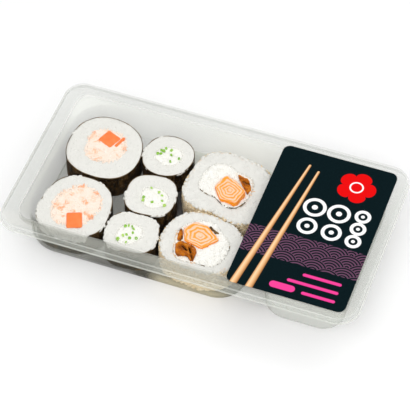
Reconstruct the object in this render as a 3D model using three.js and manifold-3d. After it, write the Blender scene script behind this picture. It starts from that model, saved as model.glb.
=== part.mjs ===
// Sealed takeaway sushi tray: a thermoformed tray with a large and a small compartment,
// seven cut rolls standing in the large one, a clear lid film welded to the flange,
// and a dark label stuck on the film over the small compartment.
// Millimetres, +Z up. Origin: middle of the footprint, on the surface that the tray stands on.
// +X runs from the rolls towards the small compartment, +Y to the back edge.

import * as THREE from 'three';
import { mergeVertices } from 'three/addons/utils/BufferGeometryUtils.js';
import Module from 'manifold-3d';

const wasm = await Module();
wasm.setup();

// ---- driving dimensions ----

const TRAY_LENGTH = 208;
const TRAY_WIDTH = 115;
const TRAY_HEIGHT = 24;
const WALL = 0.8;
const FLANGE_SIDE = 8.5;
const FLANGE_CORNER = 11;
const FRONT_ROUNDER = 2;
const RIM_DROP = 4;
const RIM_FLARE = 0.3;
const RIM_ROUND = 1.2;
const MOUTH_CORNER = 8;
const LEDGE_DEPTH = 3.6;
const SIDE_STEP = 0.15;
const DRAFT = 0.4;
const FLOOR_FILLET = 0.8;

// The two compartments: mouth from x0 to x1, corner radius of the walls below the ledge, how much
// sharper the corners at the right are, and how far those walls step in from the mouth at the left
// and right ends.
const MAIN = { x0: -94.3, x1: 36.2, corner: 19, sharper: 3.5, stepLeft: 2.4, stepRight: 0.4 };
const SMALL = { x0: 48.3, x1: 94.3, corner: 13.2, sharper: 1.5, stepLeft: 0.4, stepRight: 0.5 };

const FILM_THICKNESS = 0.3;
const FILM_MARGIN = 1.4;
const LABEL_THICKNESS = 0.25;
const LABEL = { x: 63.4, y: -0.7, length: 67.2, width: 103.2, corner: 4.2 };

const ROLL_HEIGHT = 17.2;
const ROLL_BEVEL = 1.4;
const NORI_THICKNESS = 0.5;
const NORI_PROUD = 0.25;
const PLAY = 0.2;
const GRAIN = 3.2;
const GRAIN_RELIEF = 0.45;
const SEAWEED_FACET = 3.7;
const WRAP_FACET = 3.4;
const CHEESE_RELIEF = 0.35;
const CHIVE_RADIUS = 1.05;
const CHIVE_RISE = 0.55;

const CORNER_STEPS = 6;
const OVERCUT = 2;

// A roll's outline is a circle with a few lobes: [how many, how deep, where in degrees].
const FUTOMAKI = [
  {
    name: 'futomaki_a', x: -68.2, y: 18.7, radius: 22.7,
    lobes: [[2, 0.034, -56], [3, 0.015, -21], [4, 0.023, 42]],
    salad: { x: -68.1, y: 20, radius: 11.3, lobes: [[2, 0.041, -83], [3, 0.024, 6], [4, 0.034, -35]] },
    carrots: [
      { name: 'carrot', x: -67.9, y: 25.4, length: 9.5, width: 9.2, turn: -22 },
      { name: 'carrot_shaving', x: -61.4, y: 25.2, length: 8.2, width: 1.8, turn: 71 },
    ],
  },
  {
    name: 'futomaki_b', x: -67.5, y: -27.2, radius: 21.65,
    lobes: [[2, 0.03, -86], [3, 0.033, -26], [4, 0.04, 45]],
    salad: { x: -67.2, y: -27, radius: 13.4, lobes: [[2, 0.11, 72], [5, 0.03, 20]] },
    carrots: [
      { name: 'carrot', x: -64.2, y: -37, length: 8.8, width: 10.6, turn: 22 },
    ],
  },
];

// Chives lie on the cheese: [x, y] from the roll's middle.
const HOSOMAKI = [
  {
    name: 'hosomaki_a', x: -31.9, y: 25.3, radius: 15.1,
    lobes: [[2, 0.019, 79], [3, 0.012, 9], [4, 0.013, 41]],
    cheese: { x: -31.5, y: 25.2, radius: 7.3, lobes: [[2, 0.07, 10], [3, 0.05, 60]] },
    chives: [[-4.6, 2.6], [-2.8, 3.9], [0.4, 3.9], [1.6, 0.7], [-4.6, -0.7], [2.8, -4.1], [5.9, -0.5]],
  },
  {
    name: 'hosomaki_b', x: -30.7, y: -5.3, radius: 15.3,
    lobes: [[2, 0.012, -68], [3, 0.011, -39], [4, 0.047, -37]],
    cheese: { x: -28.4, y: -6.4, radius: 7.6, lobes: [[2, 0.06, -20], [3, 0.05, 20]] },
    chives: [[-1.4, 4], [3.7, 3.1], [6.1, 1.4], [7.5, -2.3], [2.5, -4.9], [-3, -3.2], [7, -5]],
  },
  {
    name: 'hosomaki_c', x: -31, y: -34.2, radius: 15.1,
    lobes: [[2, 0.05, -4], [4, 0.056, -41]],
    cheese: { x: -32.1, y: -35.6, radius: 7.3, lobes: [[2, 0.08, 60], [3, 0.04, 10]] },
    chives: [[-4.6, 2.4], [-1.4, 3.7], [0.4, 0.2], [-3.7, -3.3], [-5.4, -6], [0.4, -4.4], [3.7, -3.4], [-0.8, -7.4]],
  },
];

// The crab stick is a pressed bar with corners, each [reach from its middle, direction]. It stands
// proud of the rice by `rise`, and its cut end leans by `lean` along X and Y. The strips beside it
// are given the same way: simmered gourd, and a folded-in end of the seaweed.
const CALIFORNIA = [
  {
    name: 'california_a', x: 8.4, y: 15.5, radius: 25.3,
    lobes: [[2, 0.064, -28], [3, 0.044, -36], [4, 0.072, 41]],
    wrap: { x: 6.7, y: 16, radius: 14.9, lobes: [[2, 0.141, -27], [3, 0.023, 58], [4, 0.088, 31]] },
    crab: {
      x: 10.4, y: 11.2, rise: 2.7, lean: [0.15, 0.06],
      corners: [[9.1, 7], [7.1, 80], [11.4, 120], [9.5, 174], [8.1, 244], [10.6, 307]],
    },
    strips: [
      {
        name: 'gourd', x: 16.6, y: 19.9, rise: 1, steps: 16,
        corners: [
          [3.8, 81], [5.4, 121], [8.2, 139], [5.4, 151], [3.2, 171],
          [2.2, 234], [4.2, 284], [7.4, 296], [5.3, 327], [3.2, 356],
        ],
      },
    ],
  },
  {
    name: 'california_b', x: 7.9, y: -27.6, radius: 22.5,
    lobes: [[2, 0.077, -6], [3, 0.014, -18], [4, 0.03, 36]],
    wrap: {
      x: 7.7, y: -28.6, radius: 15.8,
      lobes: [[2, 0.035, -37], [3, 0.055, -15], [4, 0.019, -38], [5, 0.042, 19]],
    },
    crab: {
      x: 5.6, y: -24.2, rise: 1.3, lean: [0, 0],
      corners: [[10.9, 4], [8, 78], [10.2, 125], [10.4, 172], [9.2, 221], [9.1, 294]],
    },
    strips: [
      {
        name: 'gourd', x: 1.8, y: -36.6, rise: 1.5, steps: 24,
        corners: [
          [5.9, 9], [5.6, 34], [5.2, 60], [5.1, 77], [5.4, 98], [6.4, 120], [7.4, 133],
          [7.7, 146], [7.6, 157], [6.4, 178], [5.9, 206], [5.8, 228], [4.9, 247],
          [3.7, 266], [2.9, 286], [3.6, 302], [7, 309], [8.1, 319], [6, 342],
        ],
      },
      {
        name: 'gourd_strip', x: -4.8, y: -27, rise: 1, steps: 16,
        corners: [
          [1.3, 45], [3.2, 90], [4.5, 103], [4.9, 108], [3.8, 118], [2.2, 142],
          [1.8, 180], [1.8, 213], [2.8, 245], [3.8, 262], [3.8, 292], [2.2, 320],
        ],
      },
      {
        name: 'seaweed_fold', x: 11.1, y: -18.1, rise: 0.3, steps: 14,
        corners: [
          [3.7, 354], [1.5, 28], [1.6, 112], [3.9, 130],
          [4, 144], [2.2, 157], [0.5, 250], [3.3, 328],
        ],
      },
    ],
  },
];

// ---- colours ----

const finish = (color, roughness, extra = {}) =>
  new THREE.MeshStandardMaterial({ color, roughness, metalness: 0, ...extra });

const trayPlastic = () => finish('#e3e6e0', 0.35, { transparent: true, opacity: 0.6 });
const clearFilm = () => finish('#f4f6f4', 0.1, { transparent: true, opacity: 0.2 });
const labelPaper = () => finish('#122226', 0.5);
const seaweed = () => finish('#221a0e', 0.45);
const rice = () => finish('#eceae2', 0.55);
const creamCheese = () => finish('#f8f6ec', 0.6);
const crabSalad = () => finish('#fbdcc6', 0.6);
const crabStick = () => finish('#ffae5c', 0.5);
const carrot = () => finish('#ff8a50', 0.5);
const gourd = () => finish('#a8651f', 0.4);

// ---- general shapes ----

const radians = (degrees) => THREE.MathUtils.degToRad(degrees);

// Repeatable random numbers from 0 to 1.
function seededRandom(seed) {
  let state = seed >>> 0;
  return () => {
    state = (state + 0x6d2b79f5) >>> 0;
    let mixed = Math.imul(state ^ (state >>> 15), state | 1);
    mixed ^= mixed + Math.imul(mixed ^ (mixed >>> 7), mixed | 61);
    return ((mixed ^ (mixed >>> 14)) >>> 0) / 4294967296;
  };
}

// A closed skin over loops of equally many points. The loops are listed so that each step turns
// outwards, as from a base up to a top. Open stacks get a fan at both ends; a wrapped stack joins
// its last loop to its first.
function loft(loops, wrapped = false) {
  const count = loops[0].length;
  const positions = loops.flat(2);
  const index = [];
  const links = wrapped ? loops.length : loops.length - 1;
  for (let level = 0; level < links; level += 1) {
    const low = level * count;
    const high = ((level + 1) % loops.length) * count;
    for (let i = 0; i < count; i += 1) {
      const next = (i + 1) % count;
      index.push(low + i, low + next, high + next, low + i, high + next, high + i);
    }
  }
  if (!wrapped) {
    addFan(positions, index, 0, count, true);
    addFan(positions, index, (loops.length - 1) * count, count, false);
  }
  const geometry = new THREE.BufferGeometry();
  geometry.setAttribute('position', new THREE.Float32BufferAttribute(positions, 3));
  geometry.setIndex(index);
  return geometry;
}

// Closes the loop that starts at vertex `start` with triangles to its middle.
function addFan(positions, index, start, count, facingDown) {
  const middle = [0, 0, 0];
  for (let i = 0; i < count; i += 1) {
    for (let axis = 0; axis < 3; axis += 1) {
      middle[axis] += positions[(start + i) * 3 + axis] / count;
    }
  }
  const centre = positions.length / 3;
  positions.push(...middle);
  for (let i = 0; i < count; i += 1) {
    const here = start + i;
    const next = start + ((i + 1) % count);
    index.push(...(facingDown ? [next, here, centre] : [here, next, centre]));
  }
}

function toSolid(geometry) {
  const merged = mergeVertices(geometry, 1e-4);
  const vertProperties = new Float32Array(merged.attributes.position.array);
  const triVerts = new Uint32Array(merged.index.array);
  return new wasm.Manifold(new wasm.Mesh({ numProp: 3, vertProperties, triVerts }));
}

function toGeometry(solid) {
  const mesh = solid.getMesh();
  const geometry = new THREE.BufferGeometry();
  geometry.setAttribute('position', new THREE.BufferAttribute(mesh.vertProperties, 3));
  geometry.setIndex(new THREE.BufferAttribute(mesh.triVerts, 1));
  return geometry;
}

// A rounded rectangle at one height, counter-clockwise seen from above. `more` is added to the
// radius at the back right, back left, front left and front right.
function roundedLoop(box, corner, z, more = [0, 0, 0, 0]) {
  const loop = [];
  more.forEach((extra, quarter) => {
    const radius = corner + extra;
    const x = quarter === 0 || quarter === 3 ? box.x1 - radius : box.x0 + radius;
    const y = quarter < 2 ? box.y1 - radius : box.y0 + radius;
    for (let step = 0; step <= CORNER_STEPS; step += 1) {
      const angle = radians(90 * (quarter + step / CORNER_STEPS));
      loop.push([x + radius * Math.cos(angle), y + radius * Math.sin(angle), z]);
    }
  });
  return loop;
}

const shrink = (box, side, left = side, right = left) => ({
  x0: box.x0 + left,
  x1: box.x1 - right,
  y0: box.y0 + side,
  y1: box.y1 - side,
});

function plate(box, corner, bottom, thickness, more) {
  return loft([
    roundedLoop(box, corner, bottom, more),
    roundedLoop(box, corner, bottom + thickness, more),
  ]);
}

// Distance from the middle to a lobed outline at an angle.
function lobedReach(shape, angle) {
  const swell = (shape.lobes ?? []).reduce(
    (sum, [count, depth, turn]) => sum + depth * Math.cos(count * (angle - radians(turn))),
    0,
  );
  return shape.radius * (1 + swell);
}

const LOBED = (shape) => ({ x: shape.x, y: shape.y, reach: (angle) => lobedReach(shape, angle) });

// A bar with straight sides between its corners.
function cornered(shape) {
  const { corners } = shape;
  const turnFrom = (angle, corner) =>
    THREE.MathUtils.euclideanModulo(angle - radians(corner[1]), 2 * Math.PI);
  const reach = (angle) => {
    const turns = corners.map((corner) => turnFrom(angle, corner));
    const along = Math.min(...turns);
    const from = corners[turns.indexOf(along)];
    const to = corners[(turns.indexOf(along) + 1) % corners.length];
    const sector = turnFrom(radians(to[1]), from);
    const spread = from[0] * Math.sin(along) + to[0] * Math.sin(sector - along);
    return (from[0] * to[0] * Math.sin(sector)) / spread;
  };
  return { x: shape.x, y: shape.y, reach };
}

// A bar with a rectangular section whose corners are softened.
function squared(shape) {
  const power = 12;
  const reach = (angle) => {
    const turned = angle - radians(shape.turn);
    const across = Math.abs(Math.cos(turned)) / (shape.length / 2);
    const along = Math.abs(Math.sin(turned)) / (shape.width / 2);
    return (across ** power + along ** power) ** (-1 / power);
  };
  return { x: shape.x, y: shape.y, reach };
}

// One level of an outline: grown or shrunk, scaled about its middle, with a height per point.
function outlineLoop(outline, steps, { grow = 0, scale = 1, height, side = () => 0 }) {
  const loop = [];
  for (let i = 0; i < steps; i += 1) {
    const angle = (2 * Math.PI * i) / steps;
    const reach = (outline.reach(angle) + grow + side()) * scale;
    loop.push([outline.x + reach * Math.cos(angle), outline.y + reach * Math.sin(angle), height(i)]);
  }
  return loop;
}

// ---- tray ----

const footprint = {
  x0: -TRAY_LENGTH / 2,
  x1: TRAY_LENGTH / 2,
  y0: -TRAY_WIDTH / 2,
  y1: TRAY_WIDTH / 2,
};
const flangeEdge = shrink(footprint, RIM_FLARE);
const flangeMore = [0, 0, FRONT_ROUNDER, FRONT_ROUNDER];
const flangeLoop = (box, corner, z) => roundedLoop(box, corner, z, flangeMore);

// One face of a compartment's wall: from the flat floor, over the fillet, up the drafted side to
// the ledge in its corners, and out to the mouth. `skin` is 0 inside and WALL outside.
function compartmentSkin(compartment, skin, top) {
  const { x0, x1, stepLeft, stepRight } = compartment;
  const fillet = FLOOR_FILLET + skin;
  const floor = WALL - skin;
  const ledge = TRAY_HEIGHT - LEDGE_DEPTH - skin;
  const wide = shrink({ ...shrink(footprint, FLANGE_SIDE), x0, x1 }, -skin);
  const body = shrink(wide, SIDE_STEP, stepLeft, stepRight);
  const foot = shrink(body, DRAFT);
  const corner = compartment.corner + skin;
  const more = [-compartment.sharper, 0, 0, -compartment.sharper];
  const loops = [];
  for (let step = 0; step <= 3; step += 1) {
    const angle = radians(30 * step);
    const inset = fillet * (1 - Math.sin(angle));
    const height = floor + fillet * (1 - Math.cos(angle));
    loops.push(roundedLoop(shrink(foot, inset), corner - inset, height, more));
  }
  loops.push(roundedLoop(body, corner, ledge, more));
  loops.push(roundedLoop(wide, MOUTH_CORNER + skin, ledge));
  loops.push(roundedLoop(wide, MOUTH_CORNER + skin, top));
  return toSolid(loft(loops));
}

// The flange with its turned-down rim, before the compartments are let in.
function flangeSkin() {
  const top = TRAY_HEIGHT;
  const outer = loft([
    flangeLoop(footprint, FLANGE_CORNER, top - RIM_DROP),
    flangeLoop(flangeEdge, FLANGE_CORNER, top - RIM_ROUND),
    flangeLoop(shrink(flangeEdge, 0.3 * RIM_ROUND), FLANGE_CORNER, top - 0.3 * RIM_ROUND),
    flangeLoop(shrink(flangeEdge, RIM_ROUND), FLANGE_CORNER - 0.5 * RIM_ROUND, top),
  ]);
  const innerEdge = shrink(flangeEdge, WALL);
  const hollow = loft([
    flangeLoop(shrink(footprint, WALL - RIM_FLARE), FLANGE_CORNER - WALL, top - RIM_DROP - OVERCUT),
    flangeLoop(shrink(footprint, WALL), FLANGE_CORNER - WALL, top - RIM_DROP),
    flangeLoop(innerEdge, FLANGE_CORNER - WALL, top - RIM_ROUND - 0.5 * WALL),
    flangeLoop(shrink(innerEdge, RIM_ROUND), FLANGE_CORNER - WALL - RIM_ROUND, top - WALL),
  ]);
  return toSolid(outer).subtract(toSolid(hollow));
}

function trayGeometry() {
  const underFlange = TRAY_HEIGHT - 0.5 * WALL;
  const overFlange = TRAY_HEIGHT + OVERCUT;
  const solid = flangeSkin()
    .add(compartmentSkin(MAIN, WALL, underFlange))
    .add(compartmentSkin(SMALL, WALL, underFlange))
    .subtract(compartmentSkin(MAIN, 0, overFlange))
    .subtract(compartmentSkin(SMALL, 0, overFlange));
  return toGeometry(solid);
}

// ---- lid film and label ----

function filmGeometry() {
  const edge = shrink(footprint, FILM_MARGIN);
  return plate(edge, FLANGE_CORNER - 1, TRAY_HEIGHT, FILM_THICKNESS, flangeMore);
}

function labelGeometry() {
  const box = {
    x0: LABEL.x - LABEL.length / 2,
    x1: LABEL.x + LABEL.length / 2,
    y0: LABEL.y - LABEL.width / 2,
    y1: LABEL.y + LABEL.width / 2,
  };
  return plate(box, LABEL.corner, TRAY_HEIGHT + FILM_THICKNESS, LABEL_THICKNESS);
}

// ---- food ----

const ROLL_BOTTOM = WALL;
const ROLL_TOP = ROLL_BOTTOM + ROLL_HEIGHT;

const stepsAround = (radius, spacing = GRAIN) => Math.round((2 * Math.PI * radius) / spacing);

// A standing plug of food: bevelled foot, sides, and a top whose rings rise and fall.
// `sideLevels` rings of points on the side lie up to `sideRelief` inside the outline.
function plug(outline, options) {
  const { steps, rings, random, grow = 0, rise = 0, relief = 0, sideLevels = 0, sideRelief = 0 } = options;
  const bevel = options.bevel ?? 0;
  const [leanX, leanY] = options.lean ?? [0, 0];
  const top = ROLL_TOP + rise;
  const wobble = (amount) => () => amount * (2 * random() - 1);
  const loops = [];
  loops.push(outlineLoop(outline, steps, { grow: grow - bevel, height: () => ROLL_BOTTOM }));
  if (bevel > 0) {
    loops.push(outlineLoop(outline, steps, { grow, height: () => ROLL_BOTTOM + bevel }));
  }
  for (let level = 1; level <= sideLevels; level += 1) {
    const height = ROLL_BOTTOM + bevel + ((top - ROLL_BOTTOM - bevel) * level) / (sideLevels + 1);
    loops.push(outlineLoop(outline, steps, { grow, height: () => height, side: () => -sideRelief * random() }));
  }
  const leaned = (loop) =>
    loop.map(([x, y, z]) => [x, y, z + leanX * (x - outline.x) + leanY * (y - outline.y)]);
  loops.push(leaned(outlineLoop(outline, steps, { grow, height: () => top - relief })));
  for (let ring = 1; ring < rings; ring += 1) {
    const height = options.ringHeight
      ? () => top + options.ringHeight(ring)
      : () => top + wobble(relief)();
    loops.push(leaned(outlineLoop(outline, steps, { grow, scale: 1 - ring / rings, height })));
  }
  return toSolid(loft(loops));
}

// A straight cutter with a plug's outline, a little larger, right through its height.
function cutter(outline, steps, grow, rise = 0) {
  return toSolid(loft([
    outlineLoop(outline, steps, { grow, height: () => ROLL_BOTTOM - OVERCUT }),
    outlineLoop(outline, steps, { grow, height: () => ROLL_TOP + rise + 2 * OVERCUT }),
  ]));
}

// A band of seaweed inside `outline`. Its top edge is cut a little unevenly.
function seaweedBand(outline, steps, random, bevel = 0) {
  const edge = () => ROLL_TOP + NORI_PROUD * (random() - 0.2);
  const inner = { grow: -NORI_THICKNESS };
  const foot = () => ROLL_BOTTOM + bevel;
  const loops = [
    outlineLoop(outline, steps, { height: foot }),
    outlineLoop(outline, steps, { height: edge }),
    outlineLoop(outline, steps, { ...inner, height: () => ROLL_TOP - NORI_PROUD }),
    outlineLoop(outline, steps, { ...inner, height: foot }),
  ];
  if (bevel > 0) {
    const floor = () => ROLL_BOTTOM;
    loops.push(outlineLoop(outline, steps, { grow: -NORI_THICKNESS - bevel, height: floor }));
    loops.push(outlineLoop(outline, steps, { grow: -bevel, height: floor }));
  }
  return loft(loops, true);
}

const group = new THREE.Group();

function addMesh(name, geometry, material) {
  const mesh = new THREE.Mesh(geometry, material);
  mesh.name = name;
  group.add(mesh);
}

const subtractAll = (solid, cutters) => cutters.reduce((left, tool) => left.subtract(tool), solid);

// Rice inside a seaweed band, with the filling's cutters taken out of it.
function wrappedRice(outline, steps, radius, random, cutters) {
  const solid = plug(outline, {
    steps,
    rings: Math.round(radius / GRAIN),
    random,
    grow: -NORI_THICKNESS - PLAY,
    relief: GRAIN_RELIEF,
    bevel: ROLL_BEVEL,
  });
  return toGeometry(subtractAll(solid, cutters));
}

function addFutomaki(roll, seed) {
  const random = seededRandom(seed);
  const outline = LOBED(roll);
  const steps = stepsAround(roll.radius);
  const salad = LOBED(roll.salad);
  const saladSteps = stepsAround(roll.salad.radius);
  const bars = roll.carrots.map((bar) => ({ ...bar, outline: squared(bar) }));
  const barCutters = bars.map((bar) => cutter(bar.outline, BAR_STEPS, PLAY));
  const saladPlug = plug(salad, {
    steps: saladSteps,
    rings: Math.round(roll.salad.radius / GRAIN),
    random,
    rise: 0.2,
    relief: GRAIN_RELIEF,
  });
  const riceCutters = [cutter(salad, saladSteps, PLAY), ...barCutters];
  const bandSteps = stepsAround(roll.radius, SEAWEED_FACET);
  addMesh(`${roll.name}_seaweed`, seaweedBand(outline, bandSteps, random, ROLL_BEVEL), seaweed());
  addMesh(`${roll.name}_rice`, wrappedRice(outline, steps, roll.radius, random, riceCutters), rice());
  addMesh(`${roll.name}_salad`, toGeometry(subtractAll(saladPlug, barCutters)), crabSalad());
  bars.forEach((bar) => {
    const solid = plug(bar.outline, { steps: BAR_STEPS, rings: 1, random, rise: 0.35 });
    addMesh(`${roll.name}_${bar.name}`, toGeometry(solid), carrot());
  });
}

// A cut ring of chive, as a short six-sided post bedded in the cheese.
function chivePost(x, y, turn) {
  const post = { x, y, reach: () => CHIVE_RADIUS };
  const loopAt = (height) =>
    outlineLoop(post, 6, { height: (i) => height + 0.2 * Math.cos(i + turn) });
  return toSolid(loft([loopAt(ROLL_TOP - CHIVE_RISE), loopAt(ROLL_TOP + CHIVE_RISE)]));
}

function addHosomaki(roll, seed) {
  const random = seededRandom(seed);
  const outline = LOBED(roll);
  const steps = stepsAround(roll.radius);
  const cheese = LOBED(roll.cheese);
  const cheeseSteps = stepsAround(roll.cheese.radius);
  const cheesePlug = plug(cheese, {
    steps: cheeseSteps,
    rings: Math.round(roll.cheese.radius / GRAIN),
    random,
    rise: 0.15,
    relief: CHEESE_RELIEF,
  });
  const dotted = roll.chives.reduce(
    (solid, [x, y], i) => solid.add(chivePost(roll.x + x, roll.y + y, i)),
    cheesePlug,
  );
  const chiveCutters = roll.chives.map(([x, y]) => {
    const post = { x: roll.x + x, y: roll.y + y, reach: () => CHIVE_RADIUS };
    return cutter(post, 6, PLAY);
  });
  const riceCutters = [cutter(cheese, cheeseSteps, PLAY), ...chiveCutters];
  const bandSteps = stepsAround(roll.radius, SEAWEED_FACET);
  addMesh(`${roll.name}_seaweed`, seaweedBand(outline, bandSteps, random, ROLL_BEVEL), seaweed());
  addMesh(`${roll.name}_rice`, wrappedRice(outline, steps, roll.radius, random, riceCutters), rice());
  addMesh(`${roll.name}_cheese`, toGeometry(dotted), creamCheese());
}

// Carrot sections and the crab stick's section need fixed numbers of points that hit their corners.
const BAR_STEPS = 16;
const CRAB_STEPS = 30;
const CRAB_RINGS = 4;
const CRAB_GROOVE = 0.25;

function addCalifornia(roll, seed) {
  const random = seededRandom(seed);
  const outline = LOBED(roll);
  const steps = stepsAround(roll.radius);
  const wrap = LOBED(roll.wrap);
  const wrapSteps = stepsAround(roll.wrap.radius, WRAP_FACET);
  const crab = cornered(roll.crab);
  const strips = roll.strips.map((strip) => ({ ...strip, outline: cornered(strip) }));
  const fillingCutters = [
    cutter(crab, CRAB_STEPS, PLAY, roll.crab.rise),
    ...strips.map((strip) => cutter(strip.outline, strip.steps, PLAY)),
  ];
  const riceRoll = plug(outline, {
    steps,
    rings: Math.round(roll.radius / GRAIN),
    random,
    relief: GRAIN_RELIEF,
    bevel: ROLL_BEVEL,
    sideLevels: 3,
    sideRelief: 1.5 * GRAIN_RELIEF,
  });
  const cheesePlug = plug(wrap, {
    steps: wrapSteps,
    rings: Math.round(roll.wrap.radius / GRAIN),
    random,
    grow: -NORI_THICKNESS - PLAY,
    rise: 0.3,
    relief: CHEESE_RELIEF,
  });
  const crabBar = plug(crab, {
    steps: CRAB_STEPS,
    rings: CRAB_RINGS,
    random,
    rise: roll.crab.rise,
    lean: roll.crab.lean,
    ringHeight: (ring) => (ring % 2 === 0 ? 0 : -CRAB_GROOVE),
  });
  const riceRing = riceRoll.subtract(cutter(wrap, wrapSteps, PLAY));
  addMesh(`${roll.name}_rice`, toGeometry(riceRing), rice());
  addMesh(`${roll.name}_seaweed`, seaweedBand(wrap, wrapSteps, random), seaweed());
  addMesh(`${roll.name}_cheese`, toGeometry(subtractAll(cheesePlug, fillingCutters)), creamCheese());
  addMesh(`${roll.name}_crab`, toGeometry(crabBar), crabStick());
  strips.forEach((strip) => {
    const solid = plug(strip.outline, {
      steps: strip.steps,
      rings: 2,
      random,
      rise: strip.rise,
      relief: 0.25,
    });
    const material = strip.name === 'seaweed_fold' ? seaweed() : gourd();
    addMesh(`${roll.name}_${strip.name}`, toGeometry(solid), material);
  });
}

addMesh('tray', trayGeometry(), trayPlastic());
addMesh('lid_film', filmGeometry(), clearFilm());
addMesh('label', labelGeometry(), labelPaper());
FUTOMAKI.forEach((roll, i) => addFutomaki(roll, 11 + i));
HOSOMAKI.forEach((roll, i) => addHosomaki(roll, 31 + i));
CALIFORNIA.forEach((roll, i) => addCalifornia(roll, 51 + i));

export default group;
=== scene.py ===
"""Looks of the sealed takeaway sushi tray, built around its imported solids.

Lengths in the tables and shape functions are millimetres, and become metres in new_object().
Colours are screen values from 0 to 255.
"""

from math import atan2, cos, hypot, pi, radians, sin

import bpy
import numpy as np
from mathutils import Euler, Matrix, Vector, noise


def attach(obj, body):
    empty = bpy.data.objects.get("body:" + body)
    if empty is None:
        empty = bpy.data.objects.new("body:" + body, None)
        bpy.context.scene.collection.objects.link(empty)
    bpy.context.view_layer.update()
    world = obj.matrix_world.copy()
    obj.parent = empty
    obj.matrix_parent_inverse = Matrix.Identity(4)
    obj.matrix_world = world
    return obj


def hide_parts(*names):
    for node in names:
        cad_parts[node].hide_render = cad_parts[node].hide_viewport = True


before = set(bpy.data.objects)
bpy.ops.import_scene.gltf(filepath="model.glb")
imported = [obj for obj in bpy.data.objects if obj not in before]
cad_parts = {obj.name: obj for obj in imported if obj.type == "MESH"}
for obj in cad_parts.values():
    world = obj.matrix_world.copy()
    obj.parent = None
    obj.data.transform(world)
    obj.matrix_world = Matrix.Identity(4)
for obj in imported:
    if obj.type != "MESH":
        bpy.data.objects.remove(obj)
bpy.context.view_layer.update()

MM = 0.001
scene = bpy.context.scene

# ---- sizes, the same as the solids' ----

TRAY_HALF = (104.0, 57.5)
TRAY_HEIGHT = 24.0
WALL = 0.8
FLANGE_SIDE = 8.5
FLANGE_CORNER = 11.0
FRONT_ROUNDER = 2.0
RIM_DROP = 4.0
RIM_FLARE = 0.3
RIM_ROUND = 1.2
MOUTH_CORNER = 8.0
LEDGE_DEPTH = 3.6
SIDE_STEP = 0.15
DRAFT = 0.4
FLOOR_FILLET = 0.8
LIP_ROUND = 0.7
MAIN = dict(x0=-94.3, x1=36.2, corner=19.0, sharper=3.5, left=2.4, right=0.4)
SMALL = dict(x0=48.3, x1=94.3, corner=13.2, sharper=1.5, left=0.4, right=0.5)

LABEL_CENTRE = (63.4, -0.7)

# The rolls' foot and cut face.
FOOT = 0.8
CUT = 18.0
BEVEL = 1.4
CRAB_TURNS = 4.1
NORI = 0.32
PLAY = 0.06
BARE_DEPTH = 5.2
BURIED_DEPTH = 1.5
GRAIN_SPACING = 1.9
SOAK_REACH = 2.6

# over: how much of the rim has grains hanging over the seaweed. bare: where it stops lower down.
FUTOMAKI = {
    "futomaki_a": dict(
        outline=(-68.2, 18.7, 22.7, [(2, 0.034, -56), (3, 0.015, -21), (4, 0.023, 42)]),
        salad=(-68.1, 20, 11.3, [(2, 0.041, -83), (3, 0.024, 6), (4, 0.034, -35)]),
        carrots=[("carrot", -67.9, 25.4, 9.5, 9.2, -22), ("carrot_shaving", -61.4, 25.2, 8.2, 1.8, 71)],
        over=0.1,
    ),
    "futomaki_b": dict(
        outline=(-67.5, -27.2, 21.65, [(2, 0.03, -86), (3, 0.033, -26), (4, 0.04, 45)]),
        salad=(-67.2, -27, 13.4, [(2, 0.11, 72), (5, 0.03, 20)]),
        carrots=[("carrot", -64.2, -37, 8.8, 10.6, 22)],
        over=0.42,
        bare=(-126, -54),
    ),
}
HOSOMAKI = {
    "hosomaki_a": dict(
        outline=(-31.9, 25.3, 15.1, [(2, 0.019, 79), (3, 0.012, 9), (4, 0.013, 41)]),
        cheese=(-31.5, 25.2, 7.3, [(2, 0.07, 10), (3, 0.05, 60)]), over=0.35,
        chives=[(-4.8, 2.2), (-3.5, 2.2), (-2.8, 4.3), (0.4, 3.9), (1.6, 0.7), (-6.1, -0.7),
                (2.8, -4.1), (6.6, -0.5), (-4.3, -0.2)],
    ),
    "hosomaki_b": dict(
        outline=(-30.7, -5.3, 15.3, [(2, 0.012, -68), (3, 0.011, -39), (4, 0.047, -37)]),
        cheese=(-28.4, -6.4, 7.6, [(2, 0.06, -20), (3, 0.05, 20)]), over=0.4,
        chives=[(-1.4, 4.5), (3.7, 3.1), (6.1, 1.4), (7.5, -2.3), (2.5, -4.9), (9.9, -4.9),
                (-3.2, -3.1), (-2.8, -5.3)],
    ),
    "hosomaki_c": dict(
        outline=(-31, -34.2, 15.1, [(2, 0.05, -4), (4, 0.056, -41)]),
        cheese=(-32.1, -35.6, 7.3, [(2, 0.08, 60), (3, 0.04, 10)]), over=0.55,
        chives=[(-4.9, 2.7), (-3.2, 3.6), (-1.2, 3.7), (0.1, 2.4), (0.7, -0.4), (-3.7, -3.9),
                (-2.1, -2.7), (-5.5, -7.1), (0.4, -4.4), (3.9, -3.4), (-0.5, -7.8)],
    ),
}
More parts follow.
